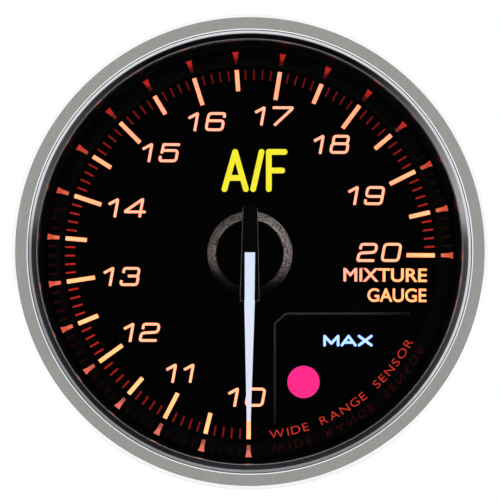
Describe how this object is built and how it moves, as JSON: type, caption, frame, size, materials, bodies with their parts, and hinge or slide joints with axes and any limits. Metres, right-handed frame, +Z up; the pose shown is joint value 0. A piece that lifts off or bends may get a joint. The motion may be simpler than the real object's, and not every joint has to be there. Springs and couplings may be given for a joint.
{
  "type": "air fuel ratio gauge",
  "caption": "Round panel gauge with a wide silver bezel, a black lit dial, a long pointer on a stepper drive, plug sockets and a rear clamp.",
  "frame": {"origin": "on the gauge's axis, in the plane of the bezel's back face, where it seats on the panel", "axes": "+Y along the gauge's axis, away from the driver and into the panel; +Z up the dial; +X to the driver's right"},
  "size_m": [0.06, 0.057, 0.06],
  "materials": {
    "bezel_metal": "matt front, polished edges",
    "clear_lens": "clear, coated",
    "black_rubber": "matt",
    "gloss_black": "gloss",
    "dial_black": "printed satin black",
    "lit_amber": "lit from behind",
    "dim_red": "dimly lit from behind",
    "foot_red": "lit from behind",
    "smoked_blue": "smoked, lit from behind",
    "pink_lens": "lit from behind",
    "clear_acrylic": "clear",
    "white_plastic": "matt white",
    "board": "lacquered circuit board",
    "led_resin": "clear resin on white",
    "chip_black": "matt black",
    "plated_steel": "zinc plated",
    "contact_metal": "bright",
    "motor_white": "matt",
    "motor_black": "matt",
    "core_steel": "stamped laminations",
    "copper_wire": "enamelled wire",
    "magnet_grey": "bonded ferrite",
    "gear_plastic": "natural acetal",
    "hub_metal": "satin silver grey",
    "blade_white": "lit through its root",
    "can_sleeve": "dark sleeve",
    "can_black": "fine matt texture",
    "socket_black": "satin",
    "socket_white": "satin",
    "nut_brass": "bright turned"
  },
  "bodies": {
    "case": {"bezel": "bezel_metal", "lens": "clear_lens", "lens_gasket": "black_rubber", "dial_surround": "gloss_black", "foot_marks": "foot_red", "dial_plate": "dial_black", "major_ticks": "lit_amber", "minor_ticks": "dim_red", "peak_window": "smoked_blue", "warning_lens": "pink_lens", "light_guide": "clear_acrylic", "light_box": "white_plastic", "display_board": "board", "backlight_leds": "led_resin", "pointer_leds": "led_resin", "peak_led": "led_resin", "warning_led": "led_resin", "controller_chip": "chip_black", "board_screws": "plated_steel", "header_pins": "contact_metal", "header_socket": "chip_black", "motor_case_front": "motor_white", "motor_case_rear": "motor_black", "motor_terminals": "contact_metal", "stator_core": "core_steel", "stator_coils": "copper_wire", "rotor_axle": "plated_steel", "idler_axle": "plated_steel", "power_board": "board", "power_board_screws": "plated_steel", "capacitors": "can_sleeve", "voltage_regulator": "chip_black", "sensor_socket": "socket_black", "sensor_pins": "contact_metal", "power_socket": "socket_white", "power_pins": "contact_metal", "housing": "can_black", "rear_seal": "black_rubber", "rear_cover": "can_black", "cover_screws": "plated_steel", "studs": "plated_steel"},
    "pointer": {"output_gear": "gear_plastic", "output_shaft": "plated_steel", "pointer_boss": "clear_acrylic", "hub_cap": "gloss_black", "hub_ring": "hub_metal", "pointer_cover": "gloss_black", "pointer_blade": "blade_white"},
    "idler": {"idler_gear": "gear_plastic"},
    "rotor": {"rotor_magnet": "magnet_grey", "rotor_pinion": "gear_plastic"},
    "clamp": {"clamp_bracket": "plated_steel", "washers": "plated_steel", "thumb_nuts": "nut_brass"}
  },
  "joints": [
    {"name": "pointer_sweep", "type": "hinge", "parent": "case", "child": "pointer", "pos_m": [0, 0, 0], "axis": [0, 1, 0], "range_deg": [0, 270]},
    {"name": "idler_turn", "type": "hinge", "parent": "case", "child": "idler", "pos_m": [0, 0.008, -0.0084], "axis": [0, 1, 0], "range_deg": [-1620, 0]},
    {"name": "rotor_turn", "type": "hinge", "parent": "case", "child": "rotor", "pos_m": [0.00658, 0.01, -0.00547], "axis": [0, 1, 0], "range_deg": [0, 8100]},
    {"name": "clamp_slide", "type": "slide", "parent": "case", "child": "clamp", "axis": [0, 1, 0], "range_m": [0, 0.05]}
  ],
  "couplings": [
    {"joint": "idler_turn", "follows": "pointer_sweep", "ratio": -6},
    {"joint": "rotor_turn", "follows": "pointer_sweep", "ratio": 30}
  ]
}
